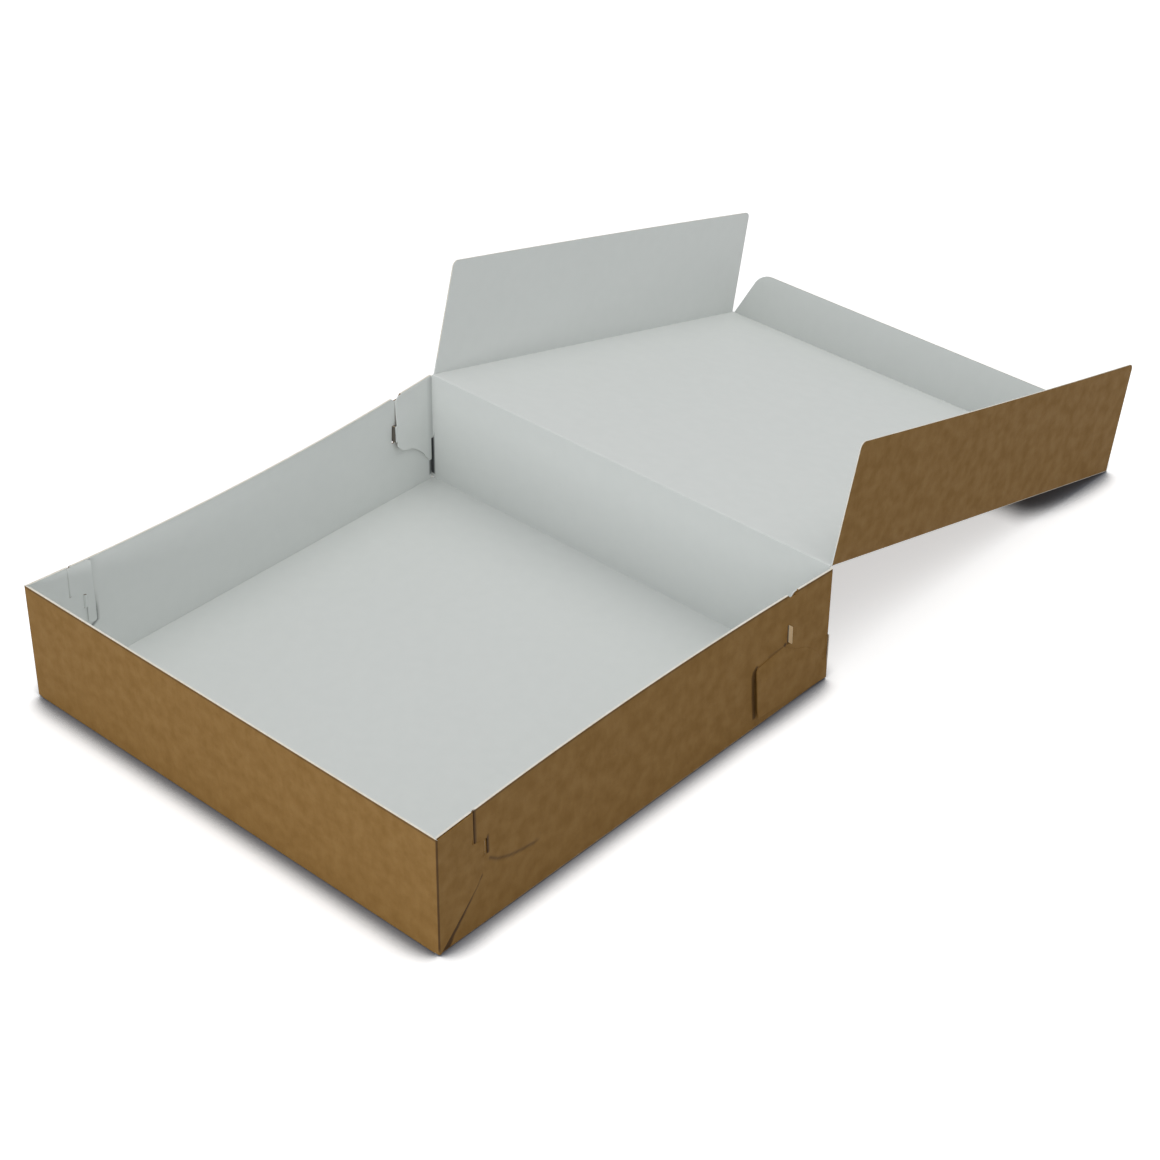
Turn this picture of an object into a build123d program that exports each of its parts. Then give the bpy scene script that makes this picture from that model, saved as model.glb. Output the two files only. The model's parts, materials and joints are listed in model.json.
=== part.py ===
from build123d import *
from math import asin, cos, degrees, sin
import os

os.makedirs("parts", exist_ok=True)

# A tuck-top cake box folded from one sheet of board, standing on Z = 0 with its front wall
# toward -Y. The lid is open: it hangs back from the rear wall and its far fold rests on the table.
# All sizes are in millimetres.

# Tray
tray_width = 254.0
tray_depth = 254.0
tray_height = 61.0
board = 0.6
fold_radius = 0.45      # middle of the board round a fold
ply_gap = 0.1           # air between two layers that lie face to face
corner_relief = 1.0     # length of wall that each fold round a corner takes up
wall_half = tray_width / 2
depth_half = tray_depth / 2
outer_ply = wall_half + ply_gap + board / 2             # middle of an ear outside a side wall
inner_ply = wall_half - board - ply_gap - board / 2     # middle of an ear inside a side wall
front_ply = -depth_half + board / 2                     # middle of the front wall
back_ply = depth_half - board / 2                       # middle of the back wall
panel_end = inner_ply - corner_relief                   # where front and back walls start to turn
side_wall_end = depth_half - board - ply_gap            # where the side walls stop short of them

# Lid and flaps
lid_gap = 0.15          # air between the closed lid and the rim
crease_gap = 0.2        # air between a fold's round and the panel that turns on it
panel_start = board / 2 + crease_gap
tuck_clearance = 3.1    # closed lid's front fold, behind the inside of the front wall
lid_depth = tray_depth - board / 2 - board - tuck_clearance
hinge_y = back_ply
hinge_z = tray_height + lid_gap + board / 2
flap_clearance = 0.3    # tucked side flap to the ears inside the tray
side_crease = inner_ply - board / 2 - flap_clearance - board / 2
floor_clearance = 0.85  # tucked side flap to the tray's floor
side_flap_height = hinge_z - board - floor_clearance
side_flap_end = 1.0     # side flap's ends, in from the ends of its fold
hinge_end_taper = 1.0   # and further in at its free edge, at the hinge's end
far_end_taper = 3.4     # and at the lid's far end
side_flap_corner = 3.0
front_flap_height = 28.0
front_flap_end = 1.0
front_flap_taper = 13.0
front_flap_corner = 7.0

# Front corner locks: the ear goes round outside the side wall and in through a stepped slit, which
# drops from the rim, runs on as a fine slanting cut and drops again. Lengths run back from the
# corner and heights are above the table.
ear_top = tray_height - 0.5
ear_foot = 0.9
slit_width = 1.3
slit_play = 0.3
bend_run = 0.8          # length over which an ear changes from one side of the wall to the other
front_slit = 22.0       # middle of the slit's upper drop
slit_foot = 44.6        # bottom of the upper drop
second_slit = 29.3      # middle of the slit's lower drop
second_top = 42.5
second_foot = 35.3
step_gap = 0.2          # width of the fine cut, in the wall and in the ear
step_fall = (slit_foot - second_top) / (second_slit - front_slit) * bend_run
ear_cut_start = (front_slit - bend_run, slit_foot + step_fall)
ear_cut_end = (second_slit + bend_run, second_top - step_fall)
front_tip = 33.5        # end of the ear, inside the wall
hook_foot = 26.6        # the inside part hangs down to here
skirt_foot = 26.7       # slanted lower edge of the outside part, as far along as it is high
skirt_end = 28.4

# Rear corner locks: two fingers of one ear clasp the side wall, the upper inside, the lower outside.
# A nib of the upper one pokes out through a short slit.
wall_end_gap = 1.4      # air between a side wall's end and the rear wall
finger_end = 28.0
finger_corner = 3.0
finger_root = 24.7      # lower end of the upper finger's fold
root_cut = 2.0          # cut that frees its lobe from the rear wall
lobe_foot = 12.2
arch = [(3.5, 12.2), (8.0, 18.8), (16.7, 26.2), (24.0, 28.6)]
nib_foot = 35.6
nib_top = 44.4
nib_bend = 29.4         # where the nib turns out
nib_run = 0.5           # length over which it comes out, almost square to the wall
nib_reach = 1.2         # how far its end stands off the wall
nib_end = 31.5
nib_slit = 29.6         # middle of the slit that the nib comes out through
nib_slit_width = 1.5
clasp_end = 52.0        # end of the lower finger
clasp_foot = 5.6
clasp_shoulder = 31.5
clasp_step = 34.4       # top of the lower finger near the nib
clasp_step_start = 32.7
clasp_corner = 3.0
notch_start = 24.0      # shallow notch in the side wall's rim above the fingers
notch_end = 31.0
notch_depth = 2.0

# The lid lies at the slope that brings its far fold down to the table
lid_slope = asin((hinge_z - board / 2) / lid_depth)
lid_plane = Plane(
    origin=(0, hinge_y, hinge_z),
    x_dir=(1, 0, 0),
    z_dir=(0, sin(lid_slope), cos(lid_slope)),
)
# Upright planes seen from the right, with the length along a side wall measured from a corner
front_corner = Plane(origin=(0, -depth_half, 0), x_dir=(0, 1, 0), z_dir=(1, 0, 0))
back_corner = Plane(origin=(0, depth_half, 0), x_dir=(0, -1, 0), z_dir=(-1, 0, 0))


def standing_strip(route, corner_plane, outline):
    """A strip of board on edge that follows a route seen from above, cut to an outline seen from the side"""
    with BuildPart() as strip:
        with BuildSketch():
            with BuildLine():
                FilletPolyline(*route, radius=fold_radius)
            trace(line_width=board)
        extrude(amount=tray_height)
        with BuildSketch(corner_plane):
            add(outline)
        extrude(amount=tray_width, both=True, mode=Mode.INTERSECT)
    return strip.part


# Front ear, upper part: outside to the slit, in through it, and on to a hooked tip inside the wall
with BuildSketch() as front_tongue_outline:
    with BuildLine():
        Polyline(
            (-board, ear_cut_start[1]),
            ear_cut_start,
            (ear_cut_start[0], ear_cut_start[1] + step_gap),
            (ear_cut_end[0], ear_cut_end[1] + step_gap),
            (ear_cut_end[0], hook_foot),
            (front_tip, hook_foot),
            (front_tip, ear_top),
            (-board, ear_top),
            close=True,
        )
    make_face()
    fillet(front_tongue_outline.vertices().group_by(Axis.X)[-1], radius=1.5)

front_tongue = standing_strip(
    [
        (panel_end, front_ply),
        (outer_ply, front_ply),
        (outer_ply, -depth_half + front_slit - bend_run / 2),
        (inner_ply, -depth_half + front_slit + bend_run / 2),
        (inner_ply, -depth_half + front_tip + board),
    ],
    front_corner,
    front_tongue_outline.sketch,
)

# Front ear, lower part: outside, with a slanted lower edge, and in through the slit's lower drop
with BuildSketch() as front_skirt_outline:
    Polygon(
        (-board, ear_foot),
        (ear_foot, ear_foot),
        (skirt_foot, skirt_foot),
        (skirt_end, second_foot),
        (front_tip, second_foot),
        (front_tip, ear_cut_end[1]),
        ear_cut_end,
        ear_cut_start,
        (-board, ear_cut_start[1]),
        align=None,
    )

front_skirt = standing_strip(
    [
        (panel_end, front_ply),
        (outer_ply, front_ply),
        (outer_ply, -depth_half + second_slit - bend_run / 2),
        (inner_ply, -depth_half + second_slit + bend_run / 2),
        (inner_ply, -depth_half + front_tip + board),
    ],
    front_corner,
    front_skirt_outline.sketch,
)

# Rear ear, upper finger: inside the wall, with an arched lower edge and a nib out through the wall
with BuildSketch() as finger_outline:
    with BuildLine():
        Polyline(
            arch[0],
            (root_cut, lobe_foot),
            (root_cut, finger_root),
            (-board, finger_root),
            (-board, ear_top),
            (finger_end, ear_top),
            (finger_end, nib_top),
            (nib_end, nib_top),
            (nib_end, nib_foot),
            (finger_end, nib_foot),
        )
        Spline(*arch, (finger_end, nib_foot - 1.0))
        Line((finger_end, nib_foot - 1.0), (finger_end, nib_foot))
    make_face()
    finger_top = finger_outline.vertices().group_by(Axis.Y)[-1]
    fillet(finger_top.sort_by(Axis.X)[-1], radius=finger_corner)

upper_finger = standing_strip(
    [
        (panel_end, back_ply),
        (inner_ply, back_ply),
        (inner_ply, depth_half - nib_bend),
        (wall_half + nib_reach, depth_half - nib_bend - nib_run),
    ],
    back_corner,
    finger_outline.sketch,
)

# Rear ear, lower finger: outside the wall, cut from the upper one along the same arch
with BuildSketch() as clasp_outline:
    with BuildLine():
        Polyline(
            arch[0],
            (root_cut, lobe_foot),
            (root_cut, finger_root),
            (-board, finger_root),
            (-board, ear_foot),
            (clasp_end - 0.6, clasp_foot),
            (clasp_end + 0.6, clasp_shoulder),
            (clasp_step_start, clasp_step),
            arch[-1],
        )
        Spline(*arch)
    make_face()
    fillet(clasp_outline.vertices().sort_by(Axis.X)[-1], radius=clasp_corner)

lower_finger = standing_strip(
    [
        (panel_end, back_ply),
        (outer_ply, back_ply),
        (outer_ply, depth_half - clasp_end - 2 * board),
    ],
    back_corner,
    clasp_outline.sketch,
)

# Tray: floor, four walls and four corner locks, all of one sheet
with BuildPart() as tray:
    # Floor with the side walls folded up from it
    with BuildSketch(Plane.XZ.offset(-side_wall_end)):
        with BuildLine():
            FilletPolyline(
                (-wall_half + board / 2, tray_height),
                (-wall_half + board / 2, board / 2),
                (wall_half - board / 2, board / 2),
                (wall_half - board / 2, tray_height),
                radius=fold_radius,
            )
        trace(line_width=board)
    extrude(amount=2 * side_wall_end - wall_end_gap + ply_gap)
    # Floor again with the front and back walls
    with BuildSketch(Plane.YZ.offset(-panel_end)):
        with BuildLine():
            FilletPolyline(
                (front_ply, tray_height),
                (front_ply, board / 2),
                (back_ply, board / 2),
                (back_ply, tray_height),
                radius=fold_radius,
            )
        trace(line_width=board)
    extrude(amount=2 * panel_end)
    # Back wall's top is rounded about the lid's hinge line, a little above the rim
    with BuildSketch(Plane.YZ.offset(-side_crease)):
        with Locations((hinge_y, hinge_z)):
            Circle(board / 2)
        with Locations((hinge_y, (tray_height + hinge_z) / 2)):
            Rectangle(board, hinge_z - tray_height)
    extrude(amount=2 * side_crease)
    # Stepped front slits, and the nib slits and rim notches near the back
    with BuildSketch(front_corner):
        with BuildLine():
            Line((front_slit, slit_foot), (second_slit, second_top))
        trace(line_width=step_gap)
        with Locations((front_slit, (slit_foot - slit_play + tray_height) / 2)):
            Rectangle(slit_width, tray_height - slit_foot + slit_play)
        with Locations((second_slit, (second_foot + second_top) / 2)):
            Rectangle(slit_width, second_top - second_foot + 2 * slit_play)
    extrude(amount=tray_width, both=True, mode=Mode.SUBTRACT)
    with BuildSketch(back_corner):
        with Locations((nib_slit, (nib_foot + nib_top) / 2)):
            Rectangle(nib_slit_width, nib_top - nib_foot + 2 * slit_play)
        with BuildLine():
            Polyline(
                (notch_start, tray_height),
                (notch_start + notch_depth, tray_height - notch_depth),
                (notch_end - notch_depth, tray_height - notch_depth),
                (notch_end, tray_height),
                close=True,
            )
        make_face()
    extrude(amount=tray_width, both=True, mode=Mode.SUBTRACT)
    # Ears of the front and back walls, the same on both sides
    for ear in (front_tongue, front_skirt, upper_finger, lower_finger):
        add(ear)
        add(mirror(ear, about=Plane.YZ, mode=Mode.PRIVATE))
tray.part.label = "tray"
export_step(tray.part, "parts/tray.step")

# Lid: a flat panel with round folds along both sides and along its far edge
with BuildPart() as lid:
    with BuildSketch(Plane(lid_plane.origin, x_dir=(1, 0, 0), z_dir=-lid_plane.y_dir).offset(-panel_start)):
        SlotCenterToCenter(2 * side_crease, board)
    extrude(amount=-(lid_depth - panel_start))
    with BuildSketch(Plane(lid_plane.origin, x_dir=lid_plane.y_dir, z_dir=(1, 0, 0)).offset(-side_crease)):
        with Locations((lid_depth, 0)):
            Circle(board / 2)
    extrude(amount=2 * side_crease)
lid.part.label = "lid"
export_step(lid.part, "parts/lid.step")

# Side flaps: upright on the lid's side folds, a little shorter than the folds at both ends
for side, name in ((-1, "lid_left_flap"), (1, "lid_right_flap")):
    fold_origin = lid_plane.from_local_coords((side * side_crease, 0, 0))
    with BuildPart() as side_flap:
        with BuildSketch(Plane(fold_origin, x_dir=lid_plane.y_dir, z_dir=(1, 0, 0))) as flap_outline:
            Polygon(
                (side_flap_end, panel_start),
                (lid_depth - side_flap_end, panel_start),
                (lid_depth - side_flap_end - far_end_taper, side_flap_height),
                (side_flap_end + hinge_end_taper, side_flap_height),
                align=None,
            )
            fillet(flap_outline.vertices().group_by(Axis.Y)[-1], radius=side_flap_corner)
        extrude(amount=board / 2, both=True)
    side_flap.part.label = name
    export_step(side_flap.part, f"parts/{name}.step")

# Front flap: upright on the lid's far fold, with slanted ends that clear the side flaps
front_flap_half = side_crease - front_flap_end
with BuildPart() as front_flap:
    fold_origin = lid_plane.from_local_coords((0, lid_depth, 0))
    with BuildSketch(Plane(fold_origin, x_dir=(1, 0, 0), z_dir=-lid_plane.y_dir)) as flap_outline:
        Polygon(
            (-front_flap_half, panel_start),
            (front_flap_half, panel_start),
            (front_flap_half - front_flap_taper, front_flap_height),
            (-front_flap_half + front_flap_taper, front_flap_height),
            align=None,
        )
        fillet(flap_outline.vertices().group_by(Axis.Y)[-1], radius=front_flap_corner)
    extrude(amount=board / 2, both=True)
front_flap.part.label = "lid_front_flap"
export_step(front_flap.part, "parts/lid_front_flap.step")

print("lid slope", round(degrees(lid_slope), 3), "hinge", hinge_y, hinge_z)
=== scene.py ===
import bmesh
import bpy
import json
from math import copysign, cos, exp, pi, radians, sin
from mathutils import Matrix, Vector


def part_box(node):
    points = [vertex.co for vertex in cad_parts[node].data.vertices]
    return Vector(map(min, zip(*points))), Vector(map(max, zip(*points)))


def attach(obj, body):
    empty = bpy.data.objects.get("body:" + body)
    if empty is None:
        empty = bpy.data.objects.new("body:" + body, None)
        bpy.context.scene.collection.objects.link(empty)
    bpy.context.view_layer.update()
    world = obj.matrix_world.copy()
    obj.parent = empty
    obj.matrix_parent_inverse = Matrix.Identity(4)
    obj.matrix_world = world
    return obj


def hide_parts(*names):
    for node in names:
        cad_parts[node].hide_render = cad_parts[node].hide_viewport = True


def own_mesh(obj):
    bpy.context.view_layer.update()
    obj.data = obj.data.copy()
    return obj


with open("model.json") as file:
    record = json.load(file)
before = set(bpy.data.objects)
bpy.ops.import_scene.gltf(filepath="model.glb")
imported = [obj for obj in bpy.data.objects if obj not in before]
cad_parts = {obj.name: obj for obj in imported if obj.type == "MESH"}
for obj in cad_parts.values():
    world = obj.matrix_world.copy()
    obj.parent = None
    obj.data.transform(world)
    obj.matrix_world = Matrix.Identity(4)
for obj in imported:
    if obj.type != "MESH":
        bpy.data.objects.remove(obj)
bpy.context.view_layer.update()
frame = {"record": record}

# Tray base: the floor with the front wall and the back wall folded up from it, and the start of each
# ear where it turns round a corner. It is folding board, white inside and brown kraft outside, and
# the back wall runs up to the lid's fold.
board = 0.0006
half_board = board / 2
tray_low, tray_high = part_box("tray")
tray_half_depth = -tray_low[1]
ply_gap = 0.0001
tray_half_width = tray_high[1]
tray_rim = 0.061
joints = {j["name"]: j for j in frame["record"]["behaviour"]["joints"]}
hinge_z = joints["lid_hinge"]["pos_m"][2]
fold_radius = 0.00045
fold_length = fold_radius * pi / 2
corner_relief = 0.001
floor_half_width = tray_half_width - half_board - fold_radius
floor_half_depth = tray_half_depth - half_board - fold_radius
outer_ply = tray_half_width + ply_gap + half_board
inner_ply = tray_half_width - board - ply_gap - half_board
outer_turn = outer_ply - fold_radius
inner_turn = inner_ply - fold_radius
panel_end = inner_ply - corner_relief
hinge_end = inner_ply - 0.0009
ear_foot = 0.0009
ear_top = 0.0605
finger_root = 0.0247
corner_gap_foot = 0.0033
fine_cut = 0.0002
rim_line = 0.0007
rim_lip = 0.0004
rim_shade = 0.7
gap_margin = 0.0006
turn_margin = 0.0012
tolerance = 1e-5
edge_tolerance = 1e-6
liner_white = (0.770, 0.792, 0.775, 1)
liner_shadow = (0.060, 0.064, 0.068, 1)
kraft_brown = (0.260, 0.142, 0.036, 1)
kraft_dark = (0.212, 0.110, 0.024, 1)
kraft_shadow = (0.050, 0.022, 0.005, 1)
edge_cream = (0.950, 0.920, 0.850, 1)
edge_tan = (0.790, 0.620, 0.390, 1)


def fibre_group():
    """Paper fibre: fine streaks, broad clouds and specks, as masks and a height"""
    group = bpy.data.node_groups.new("paper_fibre", "ShaderNodeTree")
    for name, value in (("Streak Scale", 700.0), ("Cloud Scale", 150.0), ("Speck Scale", 1600.0)):
        socket = group.interface.new_socket(name, in_out="INPUT", socket_type="NodeSocketFloat")
        socket.default_value = value
    group.interface.new_socket("Vector", in_out="INPUT", socket_type="NodeSocketVector")
    for name in ("Streaks", "Clouds", "Specks", "Height"):
        group.interface.new_socket(name, in_out="OUTPUT", socket_type="NodeSocketFloat")
    node, link = group.nodes.new, group.links.new
    inside = node("NodeGroupInput")
    out = node("NodeGroupOutput")
    stretch = node("ShaderNodeMapping")
    stretch.inputs["Scale"].default_value = (1.0, 1.0, 0.22)
    link(inside.outputs["Vector"], stretch.inputs["Vector"])
    fields = {}
    for name, source, detail, low, high in (
        ("Streak", stretch.outputs["Vector"], 4.0, 0.30, 0.70),
        ("Cloud", inside.outputs["Vector"], 6.0, 0.33, 0.67),
        ("Speck", inside.outputs["Vector"], 2.0, 0.62, 0.74),
    ):
        field = node("ShaderNodeTexNoise")
        field.inputs["Detail"].default_value = detail
        link(source, field.inputs["Vector"])
        link(inside.outputs[f"{name} Scale"], field.inputs["Scale"])
        spread = node("ShaderNodeMapRange")
        spread.inputs["From Min"].default_value = low
        spread.inputs["From Max"].default_value = high
        link(field.outputs["Fac"], spread.inputs["Value"])
        fields[name] = spread.outputs["Result"]
    height = node("ShaderNodeMath")
    height.operation = "MULTIPLY_ADD"
    height.inputs[1].default_value = 0.6
    link(fields["Streak"], height.inputs[0])
    link(fields["Speck"], height.inputs[2])
    link(fields["Streak"], out.inputs["Streaks"])
    link(fields["Cloud"], out.inputs["Clouds"])
    link(fields["Speck"], out.inputs["Specks"])
    link(height.outputs["Value"], out.inputs["Height"])
    return group


paper_fibre = fibre_group()


def paper_finish(name, pale, dark, speck, shadow, streaks, clouds, specks, tooth_strength, roughness):
    """One face of the board: two tones in streaks and clouds, specks of fibre, painted shade, a fine tooth"""
    material = bpy.data.materials.new(name)
    material.use_nodes = True
    node, link = material.node_tree.nodes.new, material.node_tree.links.new
    shader = material.node_tree.nodes["Principled BSDF"]
    place = node("ShaderNodeTexCoord")
    fibre = node("ShaderNodeGroup")
    fibre.node_tree = paper_fibre
    link(place.outputs["Object"], fibre.inputs["Vector"])
    amounts = {}
    for mask, share in (("Streaks", streaks), ("Clouds", clouds), ("Specks", specks)):
        amount = node("ShaderNodeMath")
        amount.operation = "MULTIPLY"
        amount.inputs[1].default_value = share
        link(fibre.outputs[mask], amount.inputs[0])
        amounts[mask] = amount.outputs["Value"]
    tones = node("ShaderNodeMath")
    link(amounts["Streaks"], tones.inputs[0])
    link(amounts["Clouds"], tones.inputs[1])
    # The shade attribute holds painted shade, which tints the face towards its shadow colour
    shade_marks = node("ShaderNodeAttribute")
    shade_marks.attribute_name = "shade"
    layers = (
        (tones.outputs["Value"], dark),
        (amounts["Specks"], speck),
        (shade_marks.outputs["Fac"], shadow),
    )
    colour = None
    for factor, tint in layers:
        blend = node("ShaderNodeMix")
        blend.data_type = "RGBA"
        blend.inputs["A"].default_value = pale
        blend.inputs["B"].default_value = tint
        link(factor, blend.inputs["Factor"])
        if colour:
            link(colour, blend.inputs["A"])
        colour = blend.outputs["Result"]
    link(colour, shader.inputs["Base Color"])
    rough = node("ShaderNodeMapRange")
    rough.inputs["To Min"].default_value = roughness - 0.06
    rough.inputs["To Max"].default_value = roughness + 0.06
    link(fibre.outputs["Clouds"], rough.inputs["Value"])
    link(rough.outputs["Result"], shader.inputs["Roughness"])
    tooth = node("ShaderNodeBump")
    tooth.inputs["Strength"].default_value = tooth_strength
    tooth.inputs["Distance"].default_value = 0.00004
    link(fibre.outputs["Height"], tooth.inputs["Height"])
    link(tooth.outputs["Normal"], shader.inputs["Normal"])
    shader.inputs["Specular IOR Level"].default_value = 0.25
    return material


white_liner = paper_finish(
    "white_liner", liner_white, dark=(0.752, 0.775, 0.758, 1), speck=(0.70, 0.72, 0.71, 1),
    shadow=liner_shadow, streaks=0.15, clouds=0.55, specks=0.10, tooth_strength=0.2, roughness=0.62,
)
kraft_face = paper_finish(
    "kraft_face", kraft_brown, dark=kraft_dark, speck=(0.150, 0.080, 0.022, 1), shadow=kraft_shadow,
    streaks=0.22, clouds=0.78, specks=0.45, tooth_strength=0.4, roughness=0.72,
)
cut_edge = paper_finish(
    "cut_edge", edge_cream, dark=(0.76, 0.70, 0.58, 1), speck=(0.86, 0.82, 0.74, 1), shadow=kraft_shadow,
    streaks=0.5, clouds=0.3, specks=0.4, tooth_strength=0.4, roughness=0.85,
)
# A tan finish for the nib's faces outside the wall; its shadow colour takes the painted shade where the nib
# goes through
nib_tan_finish = paper_finish(
    "nib_tan_finish", edge_tan, dark=(0.68, 0.51, 0.30, 1), speck=(0.84, 0.72, 0.52, 1), shadow=liner_shadow,
    streaks=0.5, clouds=0.3, specks=0.4, tooth_strength=0.4, roughness=0.85,
)
board_faces = (white_liner, kraft_face, cut_edge, nib_tan_finish)
white, kraft, cut, nib_tan = range(len(board_faces))


def cut_board(outline, rounded=(), lines_across=(), lines_along=(), step=0.008):
    """A flat piece of board, white side up: cut to its outline, its corners rounded, scored to bend"""
    sheet = bmesh.new()
    sheet.verts.layers.float.new("shade")
    corners = [sheet.verts.new((x, y, -half_board)) for x, y in outline]
    sheet.faces.new(corners)
    for index, radius in rounded:
        bmesh.ops.bevel(
            sheet,
            geom=[corners[index]],
            offset=radius,
            segments=6,
            profile=0.5,
            affect="VERTICES",
            material=-1,
        )
    for axis, chosen in ((0, lines_across), (1, lines_along)):
        low = min(v.co[axis] for v in sheet.verts)
        high = max(v.co[axis] for v in sheet.verts)
        count = max(int((high - low) / step), 1)
        places = [low + (high - low) * i / count for i in range(1, count)]
        places = [p for p in places if all(abs(p - c) > step / 8 for c in chosen)]
        for place in sorted(places + list(chosen)):
            point, normal = [0, 0, 0], [0, 0, 0]
            point[axis] = place
            normal[axis] = 1
            bmesh.ops.bisect_plane(
                sheet,
                geom=sheet.verts[:] + sheet.edges[:] + sheet.faces[:],
                dist=1e-7,
                plane_co=point,
                plane_no=normal,
            )
    return sheet


def punch(sheet, low, high):
    """Takes a rectangular hole out of a flat sheet that is scored along the hole's sides"""
    inside = [
        f for f in sheet.faces
        if low[0] < f.calc_center_median().x < high[0] and low[1] < f.calc_center_median().y < high[1]
    ]
    bmesh.ops.delete(sheet, geom=inside, context="FACES")


def thicken(sheet, round_fold=False, edge_face=cut):
    """Gives a flat sheet its thickness and its white, kraft and cut faces, and may round its end at y = 0"""
    raised = bmesh.ops.extrude_face_region(sheet, geom=sheet.faces[:], use_keep_orig=True)
    top = [v for v in raised["geom"] if isinstance(v, bmesh.types.BMVert)]
    bmesh.ops.translate(sheet, verts=top, vec=(0, 0, board))
    bmesh.ops.recalc_face_normals(sheet, faces=sheet.faces[:])
    if round_fold:
        ends = [
            e for e in sheet.edges
            if all(v.co.y < edge_tolerance for v in e.verts)
            and abs(e.verts[0].co.z - e.verts[1].co.z) < half_board
        ]
        bmesh.ops.bevel(
            sheet, geom=ends, offset=half_board * 0.94, segments=3, profile=0.5, affect="EDGES", material=-1
        )
    for face in sheet.faces:
        middle = face.calc_center_median()
        near_fold = round_fold and any(v.co.y < edge_tolerance for v in face.verts)
        if face.normal.z > 0.7 or (near_fold and middle.z > -half_board * 0.3):
            face.material_index = white
        elif face.normal.z < -0.7 or near_fold:
            face.material_index = kraft
        else:
            face.material_index = edge_face
    return sheet


def raise_lip(sheet, at_rim):
    """Thickens a thick sheet's edge along the rim on the white side, where the cut has frayed it"""
    for vert in sheet.verts:
        if vert.co.z > 0 and at_rim(vert.co):
            vert.co.z += rim_lip


def fold(sheet, shape, darkness=None):
    """Moves each point of a flat, thick sheet to its place on the folded box, and marks its painted shade"""
    shade = sheet.verts.layers.float["shade"]
    for vert in sheet.verts:
        x, y, z = vert.co
        if darkness:
            vert[shade] = darkness(x, y, z)
        vert.co = shape(x, y, z)
    return sheet


def finish_board(name, sheets, body):
    """Joins sheets into one named piece of board with its finishes, which rides on a body of the frame"""
    mesh = bpy.data.meshes.new(name)
    whole = bmesh.new()
    for sheet in sheets:
        loose = bpy.data.meshes.new(name + "_sheet")
        sheet.to_mesh(loose)
        sheet.free()
        whole.from_mesh(loose)
        bpy.data.meshes.remove(loose)
    bmesh.ops.recalc_face_normals(whole, faces=whole.faces[:])
    whole.to_mesh(mesh)
    whole.free()
    for material in board_faces:
        mesh.materials.append(material)
    mesh.shade_smooth()
    mesh.set_sharp_from_angle(angle=radians(38))
    piece = bpy.data.objects.new(name, mesh)
    bpy.context.collection.objects.link(piece)
    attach(piece, body)
    return piece


def wall_line(height):
    """How far out on the flat blank a height on the front or back wall lies"""
    return floor_half_depth + fold_length + height - half_board - fold_radius


def fold_lines(start, count=5):
    """The places where a fold's round is scored"""
    return [start + fold_length * i / count for i in range(count + 1)]


def base_shape(x, y, z):
    """The floor's edges turn up, and the walls' ends turn round the corners"""
    past = max(abs(y) - floor_half_depth, 0)
    turn = min(past / fold_radius, pi / 2)
    out = min(abs(y), floor_half_depth) + fold_radius * sin(turn)
    up = half_board + fold_radius * (1 - cos(turn)) + max(past - fold_length, 0)
    if past >= fold_length:
        start = inner_turn if y > 0 and up > finger_root - fine_cut / 2 else outer_turn
        swing = min(max(abs(x) - start, 0) / fold_radius, pi / 2)
        across = min(abs(x), start) + (fold_radius - z) * sin(swing)
        inward = fold_radius * (1 - cos(swing)) + z * cos(swing)
        return Vector((copysign(across, x), copysign(out - inward, y), up))
    side = max(abs(x) - floor_half_width, 0)
    tilt = min(side / fold_radius, pi / 2)
    across = min(abs(x), floor_half_width) + (fold_radius - z) * sin(tilt)
    if side > 0:
        return Vector((copysign(across, x), y, half_board + fold_radius * (1 - cos(tilt)) + z * cos(tilt)))
    return Vector((x, copysign(out - z * sin(turn), y), up + z * cos(turn)))


def base_darkness(x, y, z):
    """Dark down the front corners' folds and below the front rim; painted shade in the back corners' gaps"""
    up = abs(y) - wall_line(0)
    if y < -wall_line(ear_foot) and z < 0:
        on_fold = outer_turn + tolerance < abs(x) < outer_turn + fold_length - tolerance
        return 0.85 if on_fold else rim_shade * (abs(up - tray_rim + rim_line) < tolerance)
    # Painted shade in the gaps at the back corners, on the white side
    in_gap = abs(x) > inner_turn - tolerance and corner_gap_foot - tolerance < up < finger_root - fine_cut / 2
    return 0.95 if y > 0 and z > 0 and in_gap else 0


right_side = [
    (outer_turn, -wall_line(tray_rim)),
    (outer_turn + fold_length, -wall_line(ear_top)),
    (outer_turn + fold_length, -wall_line(ear_foot)),
    (panel_end, -wall_line(ear_foot)),
    (panel_end, -floor_half_depth),
    (floor_half_width + fold_length, -floor_half_depth),
    (floor_half_width + fold_length, floor_half_depth),
    (panel_end, floor_half_depth),
    (panel_end, wall_line(ear_foot)),
    (outer_turn + fold_length, wall_line(ear_foot)),
    (outer_turn + fold_length, wall_line(finger_root - fine_cut)),
    (inner_turn, wall_line(finger_root - fine_cut)),
    (inner_turn, wall_line(finger_root)),
    (inner_turn + fold_length, wall_line(finger_root)),
    (inner_turn + fold_length, wall_line(ear_top)),
    (hinge_end, wall_line(tray_rim)),
    (hinge_end, wall_line(hinge_z)),
]
left_side = [(-x, y) for x, y in reversed(right_side)]
turns = fold_lines(floor_half_width) + fold_lines(outer_turn) + fold_lines(inner_turn)
turns.append(inner_turn - turn_margin)
gap_ends = [wall_line(corner_gap_foot - gap_margin), wall_line(corner_gap_foot)]
gap_ends += [-wall_line(tray_rim - rim_line), -wall_line(tray_rim - 2 * rim_line)]
base_sheet = cut_board(
    right_side + left_side,
    lines_across=turns + [-t for t in turns],
    lines_along=fold_lines(floor_half_depth) + [-t for t in fold_lines(floor_half_depth)] + gap_ends,
)
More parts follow.
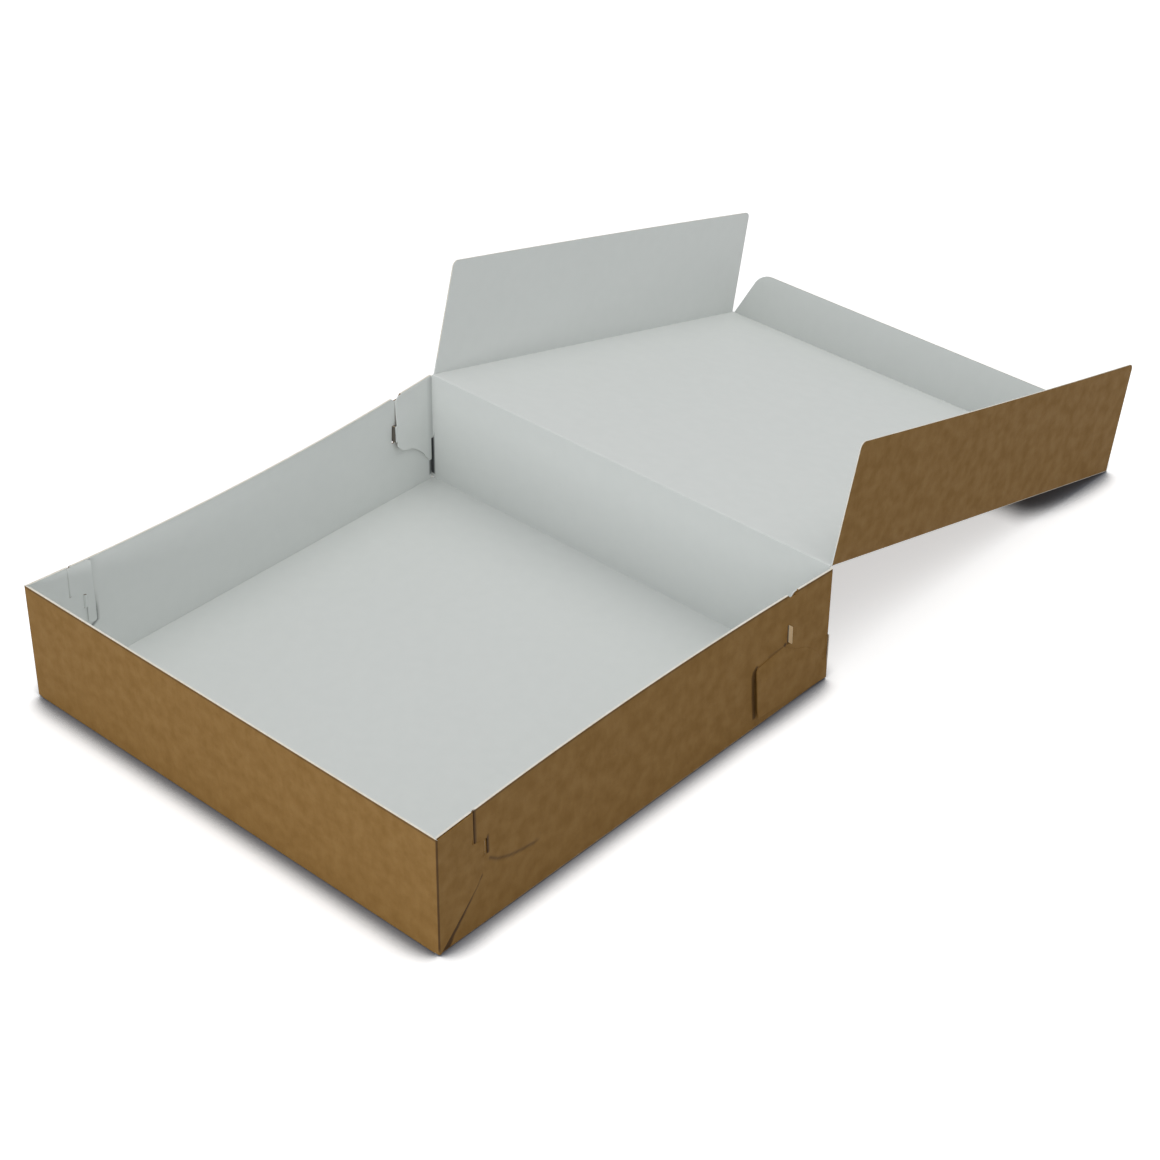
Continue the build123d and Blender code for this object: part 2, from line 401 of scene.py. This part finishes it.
thicken(base_sheet)
raise_lip(base_sheet, lambda p: p.y < -wall_line(tray_rim) + edge_tolerance and abs(p.x) < panel_end)
for face in base_sheet.faces:
    if face.material_index == cut and face.calc_center_median().y > wall_line(tray_rim):
        face.material_index = white
fold(base_sheet, base_shape, base_darkness)
tray_base = finish_board("tray_base", [base_sheet], "tray")
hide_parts("tray")

# Side walls with their corner locks: each wall folds up from the floor and bows inward between its
# ends. The front ear goes round outside it and in through a stepped slit; at the back, an upper
# finger lies inside and pokes a nib out through a short slit, and a lower finger lies outside.
bow_at_rim = {-1: 0.0063, 1: 0.0038}
wall_foot = half_board + fold_radius
wall_front_end = -tray_half_depth + board + ply_gap
wall_end_gap = 0.0014
wall_back_end = tray_half_depth - board - wall_end_gap
wall_step, ear_step = 0.005, 0.004
fine_start, fine_step = 0.0018, 0.0009
lock_start, lock_step = 0.0310, 0.0005
nib_start = 0.0295
gap_dark, gap_clear = 0.0024, 0.0036
rim_notch = [(0.024, 0), (0.026, 0.002), (0.029, 0.002), (0.031, 0)]
wide_corner, tight_corner = 0.003, 0.0015
wall_middle = tray_half_width - half_board
ply_offset = board + ply_gap
ear_start = fold_radius + half_board
bend_run = 0.0008
slit_width = 0.0013
slit_play = 0.0003
front_slit, slit_foot = 0.0220, 0.0446
second_slit, second_top, second_foot = 0.0293, 0.0425, 0.0353
front_tip, hook_foot = 0.0335, 0.0266
skirt_foot, skirt_end = 0.0267, 0.0284
finger_end, finger_foot, root_cut, lobe_foot = 0.0280, 0.0320, 0.0020, 0.0122
nib_foot, nib_top = 0.0356, 0.0444
nib_bend, nib_run, nib_end = 0.0294, 0.0002, 0.0297
nib_slit, nib_slit_width, nib_slit_foot = 0.0296, 0.0015, 0.0343
nib_reach = 0.0020
arch = [(0.0035, 0.0122), (0.0080, 0.0188), (0.0125, 0.0230), (0.0167, 0.0262), (0.0240, 0.0286)]
clasp_peak = (0.0327, 0.0344)
clasp_outline = [(0.0514, 0.0056), (0.0526, 0.0315), clasp_peak]
clasp_lift = 0.0006
press_depth = 0.0006
tongue_row = 0.0234
open_corner = 0.0021
clasp_end_line = [(0.0521, 0.0058), (0.0531, 0.0285), (0.0527, 0.0306), (0.0510, 0.0322)]
clasp_flush_line = [(0.0490, 0.0320), clasp_peak] + arch[::-1]
clasp_flush_line += [(root_cut, 0.0125), (root_cut, finger_root)]
lock_mark = [(0.0327, 0.0346), (0.0427, 0.0339)]
lock_dot = Vector((0.0318, 0.0351))
tip_shadow = [(0.0351, 0.0400), (0.0351, 0.0255), (0.0318, 0.0232)]
skirt_flush_line = [(0.0225, 0.0446), (0.0284, 0.0428), (0.0284, 0.0353), (0.0267, 0.0267)]
stress_crease = [(0.0315, 0.0314), (0.0360, 0.0280), (0.0430, 0.0253), (0.0500, 0.0238), (0.0580, 0.0227)]


def wall_bow(side, along, height):
    """How far a side wall's middle leans in at a place between its ends, nothing at its foot"""
    share = (along + tray_half_depth) / (2 * tray_half_depth)
    return bow_at_rim[side] * 4 * share * (1 - share) * height / tray_rim


def smooth_step(value, low, high):
    """Goes from 0 at low to 1 at high with no corner"""
    t = min(max((value - low) / (high - low), 0), 1)
    return t * t * (3 - 2 * t)


def bump(value, middle, spread):
    """A soft rise of 1 about a middle value"""
    return exp(-(((value - middle) / spread) ** 2))


def line_distance(place, line):
    """How far a flat place is from a line of joined points"""
    point = Vector(place)
    found = 1.0
    for start, end in zip(line, line[1:]):
        begin, run = Vector(start), Vector(end) - Vector(start)
        share = min(max((point - begin).dot(run) / run.length_squared, 0), 1)
        found = min(found, (point - begin - run * share).length)
    return found


def upright(side, ply):
    """Stands a flat sheet up along a side wall: across is the place along the wall, along is the height"""
    def shape(along, height, z):
        def at(place):
            return wall_middle + ply(place, height) - wall_bow(side, place, height)
        slope = (at(along + 1e-5) - at(along - 1e-5)) / 2e-5
        facing = Vector((-1, slope, 0)).normalized()
        return Vector((side * (at(along) + z * facing.x), along + z * facing.y, height))
    return shape


def wall_dents(side):
    """The wall gives way behind the ears' free ends, and the right one has a stress crease by its lock"""
    def ply(along, height):
        from_front, from_back = along + tray_half_depth, tray_half_depth - along
        off_foot = smooth_step(height, wall_foot, 0.005)
        behind_clasp = 0.0007 * off_foot * bump(from_back, 0.052, 0.013) * bump(height, 0.018, 0.018)
        behind_skirt = 0.0004 * off_foot * bump(from_front, 0.006, 0.010) * bump(height, 0.006, 0.010)
        crease = 0.00035 * bump(line_distance((from_front, height), stress_crease), 0, 0.0011) * (side > 0)
        return -behind_clasp - behind_skirt - crease
    return ply


def wall_darkness(side):
    """Dark below the rim; painted shade in the slits, by the ears' free edges, on the crease, at the corner
    """
    def darkness(along, height, z):
        from_front, from_back = along + tray_half_depth, tray_half_depth - along
        if z > 0:
            # Inside: painted shade on the wall beside the back corner's gap
            beside_gap = 1 - smooth_step(from_back, gap_dark, gap_clear)
            # Painted shadow beside the front ear's tip, darker low down
            low_tip = 0.15 + 0.60 * (1 - smooth_step(height, 0.030, 0.038))
            beside_tip = low_tip * bump(line_distance((from_front, height), tip_shadow), 0, 0.0009)
            return max(0.85 * beside_gap * (corner_gap_foot < height < finger_root), beside_tip)
        shade_marks = [rim_shade * (abs(height - tray_rim + rim_line) < tolerance)]
        # Painted shade where the ears go in through the slits
        for slit, foot, top in ((front_slit, slit_foot, tray_rim), (second_slit, second_foot, second_top)):
            beyond = from_front - slit - slit_width / 2
            at_slit = beyond > -tolerance and foot - 0.0004 < height < top + 0.0004
            shade_marks.append(0.95 * at_slit * (1 - smooth_step(beyond, 0.0005, 0.0012)))
        # Painted shadow under the lower finger's stood-off end
        to_clasp = line_distance((from_back, height), clasp_end_line)
        shade_marks.append(0.72 * (1 - smooth_step(to_clasp, 0.0008, 0.0013)))
        # Painted shade in the opening under the front ear's lifted lower edge, wider towards the corner
        if from_front < skirt_foot and height < skirt_foot:
            opening = 0.0012 + 0.0066 * (1 - from_front / skirt_foot)
            shade_marks.append(0.9 * (1 - smooth_step(from_front - height, opening - 0.0006, opening + 0.0003)))
        # Painted shade along the stress crease, on top of its shallow dent
        shade_marks.append(0.75 * bump(line_distance((from_front, height), stress_crease), 0, 0.0007) * (side > 0))
        # Painted shade by the nib's lock: a faint line along the lower finger's top edge and a dark dot below
        # the nib
        shade_marks.append(0.4 * bump(line_distance((from_back, height), lock_mark), 0, 0.0007))
        to_dot = (Vector((from_back, height)) - lock_dot).length
        shade_marks.append(0.9 * (1 - smooth_step(to_dot, 0.0006, 0.0014)))
        return max(shade_marks)
    return darkness


def press(place, line, spread):
    """How far an ear is pressed in along its flush edge, less and less away from it"""
    return press_depth * (1 - smooth_step(line_distance(place, line), 0.0005, spread))


def tongue_ply(along, height):
    """The front ear's upper part goes in through the slit, and its tip stands off inside, more so low down"""
    from_front = along + tray_half_depth
    stand = 0.0003 + 0.0011 * (1 - smooth_step(height, 0.032, 0.056))
    free = smooth_step(from_front, second_slit - 0.001, front_tip)
    turned = smooth_step(from_front, front_slit - bend_run, front_slit)
    return ply_offset - (2 * ply_offset - 0.0005 * (1 - free)) * turned - stand * free


def skirt_ply(along, height):
    """The front ear's lower part stays outside as far as the slit's lower drop"""
    from_front = along + tray_half_depth
    inward = 2 * ply_offset * smooth_step(from_front, second_slit - bend_run, second_slit)
    pressed = press((from_front, height), skirt_flush_line, 0.0045)
    return ply_offset - inward - pressed * (from_front < second_slit - bend_run)


def finger_ply(along, height):
    """The upper finger stands off inside, more so low down, and its nib comes out through the wall"""
    from_back = tray_half_depth - along
    stand = 0.0017 * (1 - smooth_step(height, 0.036, 0.058)) * smooth_step(from_back, 0, 0.026)
    out = (2 * ply_offset + nib_reach - board) * smooth_step(from_back, nib_bend, nib_bend + nib_run)
    return -ply_offset - stand * (from_back < nib_bend) + out


def clasp_ply(along, height):
    """The lower finger stays outside, pressed almost flush along its top, and its end stands off the wall"""
    from_back = tray_half_depth - along
    pressed = press((from_back, height), clasp_flush_line, 0.0050)
    lifted = clasp_lift * smooth_step(from_back, 0.030, 0.052) * (1 - pressed / press_depth)
    return ply_offset - pressed + lifted


def slit_darkness(slit):
    """Painted shade where an ear goes in behind the wall"""
    def darkness(along, height, z):
        from_front = along + tray_half_depth
        return 0.9 * (z < 0 and slit - 0.0001 < from_front < slit + 0.0014)
    return darkness


def finger_darkness(along, height, z):
    """Painted shade where the nib goes out through the wall, and fainter down the corner, on the white side
    """
    from_back = tray_half_depth - along
    at_nib = nib_bend - tolerance < from_back < nib_bend + nib_run * 0.4 and nib_foot - tolerance < height
    return (z > 0) * max(0.9 * at_nib, 0.3 * (1 - smooth_step(from_back, 0.0009, 0.0030)))


def clasp_darkness(along, height, z):
    """Painted shade at the open corner, seen from inside"""
    return 0.95 * (z > 0 and tray_half_depth - along < open_corner and height > corner_gap_foot)


front, back = -tray_half_depth, tray_half_depth
slit_low, slit_high = front + front_slit - slit_width / 2, front + front_slit + slit_width / 2
second_low, second_high = front + second_slit - slit_width / 2, front + second_slit + slit_width / 2
nib_low, nib_high = back - nib_slit - nib_slit_width / 2, back - nib_slit + nib_slit_width / 2
fine_across = [front + fine_start + fine_step * i for i in range(63)]
fine_across += [back - lock_start - lock_step * i for i in range(50)]
fine_across += [back - gap_dark, back - gap_clear]
fine_along = [fine_start + fine_step * i for i in range(31)] + [nib_start + lock_step * i for i in range(15)]


def bend_rows(slit):
    """The places where a front ear is scored to bend at a slit"""
    return [front + slit - bend_run + bend_run * i / 4 for i in range(9)]


for side, name in ((-1, "tray_left_wall"), (1, "tray_right_wall")):
    wall = cut_board(
        [
            (wall_front_end, wall_foot),
            (wall_back_end, wall_foot),
            (wall_back_end, finger_root),
            (back - ear_start, finger_root),
            (back - ear_start, tray_rim),
        ]
        + [(back - u, tray_rim - depth) for u, depth in rim_notch]
        + [
            (slit_high, tray_rim),
            (slit_high, slit_foot - slit_play),
            (slit_low, slit_foot - slit_play),
            (slit_low, tray_rim),
            (wall_front_end, tray_rim),
        ],
        lines_across=fine_across + [second_low, second_high, nib_low, nib_high],
        lines_along=fine_along
        + [second_foot - slit_play, second_top + slit_play, nib_slit_foot, nib_top + slit_play]
        + [tray_rim - rim_line, tray_rim - 2 * rim_line],
        step=wall_step,
    )
    punch(wall, (nib_low, nib_slit_foot), (nib_high, nib_top + slit_play))
    punch(wall, (second_low, second_foot - slit_play), (second_high, second_top + slit_play))
    thicken(wall)
    raise_lip(wall, lambda p: p.y > tray_rim - edge_tolerance and p.x > front + ear_start + board)
    # Cut faces below the rim take the darker kraft finish: painted shade in the slits and the notch
    for face in wall.faces:
        if face.material_index == cut and face.calc_center_median().y < tray_rim - 0.0001:
            face.material_index = kraft
    skirt = cut_board(
        [
            (front + ear_start, ear_foot),
            (front + ear_start + 0.0002, ear_foot),
            (front + skirt_foot, skirt_foot),
            (front + skirt_end, second_foot),
            (front + second_slit + bend_run, second_foot),
            (front + second_slit + bend_run, second_top - fine_cut),
            (front + front_slit - bend_run, slit_foot),
            (front + front_slit - bend_run, ear_top),
            (front + ear_start, ear_top),
        ],
        lines_across=bend_rows(second_slit),
        step=ear_step,
    )
    tongue = cut_board(
        [
            (front + front_slit - bend_run, slit_foot + fine_cut),
            (front + second_slit + bend_run, second_top),
            (front + second_slit + bend_run, hook_foot),
            (front + front_tip, hook_foot),
            (front + front_tip, ear_top),
            (front + front_slit - bend_run, ear_top),
        ],
        rounded=((3, tight_corner), (4, tight_corner)),
        lines_across=bend_rows(front_slit) + [front + tongue_row],
        step=ear_step,
    )
    finger = cut_board(
        [
            (back - ear_start, finger_root),
            (back - ear_start, ear_top),
            (back - finger_end, ear_top),
            (back - finger_end, nib_top),
            (back - nib_end, nib_top),
            (back - nib_end, nib_foot),
            (back - finger_end, nib_foot),
            (back - finger_end, finger_foot),
        ]
        + [(back - u, h) for u, h in reversed(arch)]
        + [(back - root_cut, lobe_foot), (back - root_cut, finger_root)],
        rounded=((2, wide_corner), (7, tight_corner)),
        lines_across=[back - nib_bend - nib_run * i / 8 for i in range(-1, 9)],
        step=ear_step,
    )
    clasp = cut_board(
        [(back - ear_start, finger_root - fine_cut), (back - ear_start, ear_foot)]
        + [(back - u, h) for u, h in clasp_outline + arch[::-1]]
        + [(back - root_cut, lobe_foot), (back - root_cut, finger_root - fine_cut)],
        rounded=((3, wide_corner),),
        step=ear_step,
    )
    thicken(finger, edge_face=white)
    # The nib's faces outside the wall take the tan finish
    for face in finger.faces:
        if face.calc_center_median().x < back - nib_bend:
            face.material_index = nib_tan
    thicken(tongue, edge_face=white)
    # The tongue's cut faces by the slit take the darker kraft finish: painted shade in the slit
    for face in tongue.faces:
        if abs(face.normal.z) < 0.7 and face.calc_center_median().x < slit_high:
            face.material_index = kraft
    sheets = [
        fold(wall, upright(side, wall_dents(side)), wall_darkness(side)),
        fold(thicken(skirt, edge_face=kraft), upright(side, skirt_ply), slit_darkness(second_slit)),
        fold(tongue, upright(side, tongue_ply), slit_darkness(front_slit)),
        fold(finger, upright(side, finger_ply), finger_darkness),
        fold(thicken(clasp, edge_face=kraft), upright(side, clasp_ply), clasp_darkness),
    ]
    piece = finish_board(name, sheets, "tray")
    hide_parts("tray")
    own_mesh(piece)

# Lid: the top panel, which hangs back from the back wall's top fold with its far fold on the table.
# It is the same board, so it shows its white side. Its near end is rounded about the hinge line.
hinge_point = Vector(joints["lid_hinge"]["pos_m"])
lid_along = Vector(joints["left_flap_fold"]["axis"]).normalized()
lid_up = Vector((1, 0, 0)).cross(lid_along)
lid_depth = (Vector(joints["front_flap_fold"]["pos_m"]) - hinge_point).length
side_crease = joints["right_flap_fold"]["pos_m"][0]
lid_sag = 0.0009


def lid_place(across, along, up):
    """A point of the open lid, from its hinge line, in the frame's own coordinates"""
    return hinge_point + Vector((1, 0, 0)) * across + lid_along * along + lid_up * up


def lid_shape(x, y, z):
    """The panel is very nearly flat: it sags a little between its folds"""
    s, t = x / side_crease, y / lid_depth
    sag = lid_sag * (1 - s * s) * 4 * t * (1 - t)
    return lid_place(x, y, z - sag)


lid_sheet = cut_board(
    [(-side_crease, 0), (side_crease, 0), (side_crease, lid_depth), (-side_crease, lid_depth)]
)
fold(thicken(lid_sheet, round_fold=True), lid_shape)
lid_panel = finish_board("lid_panel", [lid_sheet], "lid")
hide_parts("lid")

# Side flaps: they stand on the lid's side folds and tuck inside the side walls when it closes. Their
# free corners are rounded, and their ends draw in a little towards the free edge.
flap_height = 0.060
flap_end = 0.0010
flap_near_taper, flap_far_taper = 0.0010, 0.0034
flap_curl = 0.0012

for side, name, body in ((-1, "side_flap_left", "lid_left_flap"), (1, "side_flap_right", "lid_right_flap")):
    def flap_shape(x, y, z, side=side):
        curl = flap_curl * (y / flap_height) ** 2 * 4 * (x / lid_depth) * (1 - x / lid_depth)
        return lid_place(side * (side_crease - z + curl), x, y)

    flap_sheet = cut_board(
        [
            (flap_end, 0),
            (lid_depth - flap_end, 0),
            (lid_depth - flap_end - flap_far_taper, flap_height),
            (flap_end + flap_near_taper, flap_height),
        ],
        rounded=((2, wide_corner), (3, wide_corner)),
    )
    fold(thicken(flap_sheet, round_fold=True), flap_shape)
    flap = finish_board(name, [flap_sheet], body)
    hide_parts(body)

# Front flap: the short tuck flap on the lid's far fold, with slanted ends and rounded corners, which
# goes down behind the front wall when the lid closes.
front_flap_inset = 0.001
front_flap_half = side_crease - front_flap_inset
front_flap_height = 0.028
front_flap_taper = 0.013
front_flap_corner = 0.007


def front_flap_shape(x, y, z):
    """The flap stands square on the lid"""
    return lid_place(x, lid_depth - z, y)


front_sheet = cut_board(
    [
        (-front_flap_half, 0),
        (front_flap_half, 0),
        (front_flap_half - front_flap_taper, front_flap_height),
        (-front_flap_half + front_flap_taper, front_flap_height),
    ],
    rounded=((2, front_flap_corner), (3, front_flap_corner)),
)
fold(thicken(front_sheet, round_fold=True), front_flap_shape)
front_flap = finish_board("front_flap", [front_sheet], "lid_front_flap")
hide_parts("lid_front_flap")

# Floor and backdrop: a plain pale floor under a white surround. Seen directly both are white, and the
# floor keeps the box's shadow, with a contact shadow painted in close to the box.
floor_mesh = bpy.data.meshes.new("studio_floor")
floor_form = bmesh.new()
bmesh.ops.create_grid(floor_form, x_segments=1, y_segments=1, size=12)
bmesh.ops.translate(floor_form, verts=floor_form.verts, vec=(0, 0, -0.0002))
floor_form.to_mesh(floor_mesh)
floor_form.free()
floor = bpy.data.objects.new("studio_floor", floor_mesh)
bpy.context.collection.objects.link(floor)
floor_paint = bpy.data.materials.new("studio_floor")
floor_paint.use_nodes = True
floor_nodes, floor_links = floor_paint.node_tree.nodes, floor_paint.node_tree.links
floor_shader = floor_nodes["Principled BSDF"]
floor_shader.inputs["Roughness"].default_value = 0.9
floor_shader.inputs["Specular IOR Level"].default_value = 0.0
floor_shader.inputs["Emission Color"].default_value = (1, 1, 1, 1)
light_path = floor_nodes.new("ShaderNodeLightPath")
seen = floor_nodes.new("ShaderNodeMath")
seen.operation = "MAXIMUM"
floor_links.new(light_path.outputs["Is Camera Ray"], seen.inputs[0])
floor_links.new(light_path.outputs["Is Glossy Ray"], seen.inputs[1])
# Seen directly, the floor's colour and glow fade by an ambient-occlusion node close to the box: a painted
# contact shadow
nearness = floor_nodes.new("ShaderNodeAmbientOcclusion")
nearness.samples = 16
nearness.inputs["Distance"].default_value = 0.020
open_floor = floor_nodes.new("ShaderNodeMapRange")
open_floor.interpolation_type = "SMOOTHSTEP"
open_floor.inputs["From Min"].default_value = 0.50
open_floor.inputs["From Max"].default_value = 0.88
floor_links.new(nearness.outputs["AO"], open_floor.inputs["Value"])
lift = floor_nodes.new("ShaderNodeMath")
lift.operation = "MULTIPLY"
floor_links.new(seen.outputs["Value"], lift.inputs[0])
floor_links.new(open_floor.outputs["Result"], lift.inputs[1])
lift_strength = floor_nodes.new("ShaderNodeMath")
lift_strength.operation = "MULTIPLY"
lift_strength.inputs[1].default_value = 0.55
floor_links.new(lift.outputs["Value"], lift_strength.inputs[0])
floor_links.new(lift_strength.outputs["Value"], floor_shader.inputs["Emission Strength"])
ground = floor_nodes.new("ShaderNodeMix")
ground.data_type = "RGBA"
ground.inputs["A"].default_value = (0.24, 0.25, 0.28, 1)
ground.inputs["B"].default_value = (0.90, 0.90, 0.90, 1)
floor_links.new(open_floor.outputs["Result"], ground.inputs["Factor"])
pale = floor_nodes.new("ShaderNodeMix")
pale.data_type = "RGBA"
pale.inputs["A"].default_value = (0.78, 0.78, 0.78, 1)
floor_links.new(ground.outputs["Result"], pale.inputs["B"])
floor_links.new(seen.outputs["Value"], pale.inputs["Factor"])
floor_links.new(pale.outputs["Result"], floor_shader.inputs["Base Color"])
floor_mesh.materials.append(floor_paint)

world = bpy.data.worlds.new("studio")
bpy.context.scene.world = world
world.use_nodes = True
world_nodes, world_links = world.node_tree.nodes, world.node_tree.links
surround = world_nodes["Background"]
surround.inputs["Color"].default_value = (0.955, 0.975, 1.0, 1)
surround.inputs["Strength"].default_value = 0.49
white_seen = world_nodes.new("ShaderNodeBackground")
white_seen.inputs["Color"].default_value = (1, 1, 1, 1)
world_path = world_nodes.new("ShaderNodeLightPath")
direct = world_nodes.new("ShaderNodeMath")
direct.operation = "MAXIMUM"
world_links.new(world_path.outputs["Is Camera Ray"], direct.inputs[0])
world_links.new(world_path.outputs["Is Glossy Ray"], direct.inputs[1])
through = world_nodes.new("ShaderNodeMath")
through.operation = "MAXIMUM"
world_links.new(direct.outputs["Value"], through.inputs[0])
world_links.new(world_path.outputs["Is Transmission Ray"], through.inputs[1])
choose = world_nodes.new("ShaderNodeMixShader")
world_links.new(through.outputs["Value"], choose.inputs["Fac"])
world_links.new(surround.outputs["Background"], choose.inputs[1])
world_links.new(white_seen.outputs["Background"], choose.inputs[2])
world_links.new(choose.outputs["Shader"], world_nodes["World Output"].inputs["Surface"])

# Lamps: a lamp low in front, which lights the front wall, most at its right end, and leaves the right
# side darker, and a broad soft one overhead, a little warmer than the surround
for lamp_name, tint, width, height, energy, place, target in (
    ("key_lamp", (1, 1, 1), 0.5, 0.2, 3.1, (0.12, -1.0, 0.20), (0.05, -0.127, 0.03)),
    ("top_lamp", (1, 0.985, 0.955), 2.4, 2.4, 21.5, (0.3, 0.5, 2.4), (0, 0.1, 0)),
):
    lamp = bpy.data.lights.new(lamp_name, "AREA")
    lamp.color = tint
    lamp.shape = "RECTANGLE"
    lamp.size = width
    lamp.size_y = height
    lamp.energy = energy
    lamp_object = bpy.data.objects.new(lamp_name, lamp)
    bpy.context.collection.objects.link(lamp_object)
    lamp_object.location = place
    lamp_object.rotation_euler = (Vector(target) - lamp_object.location).to_track_quat("-Z", "Y").to_euler()

# Camera: above the front right corner, as in the photograph
camera_data = bpy.data.cameras.new("camera")
camera_data.lens = 79.913
camera_data.sensor_width = 36
camera = bpy.data.objects.new("camera", camera_data)
bpy.context.collection.objects.link(camera)
camera.location = (0.67395, -0.66139, 0.71037)
camera_view = Vector((-0.54595, 0.61588, -0.56800))
camera_right = Vector((0.74348, 0.66867, 0.01041))
camera_up = camera_right.cross(camera_view)
camera.rotation_euler = Matrix((camera_right, camera_up, -camera_view)).transposed().to_euler()
bpy.context.scene.camera = camera
bpy.context.scene.view_settings.view_transform = "Standard"
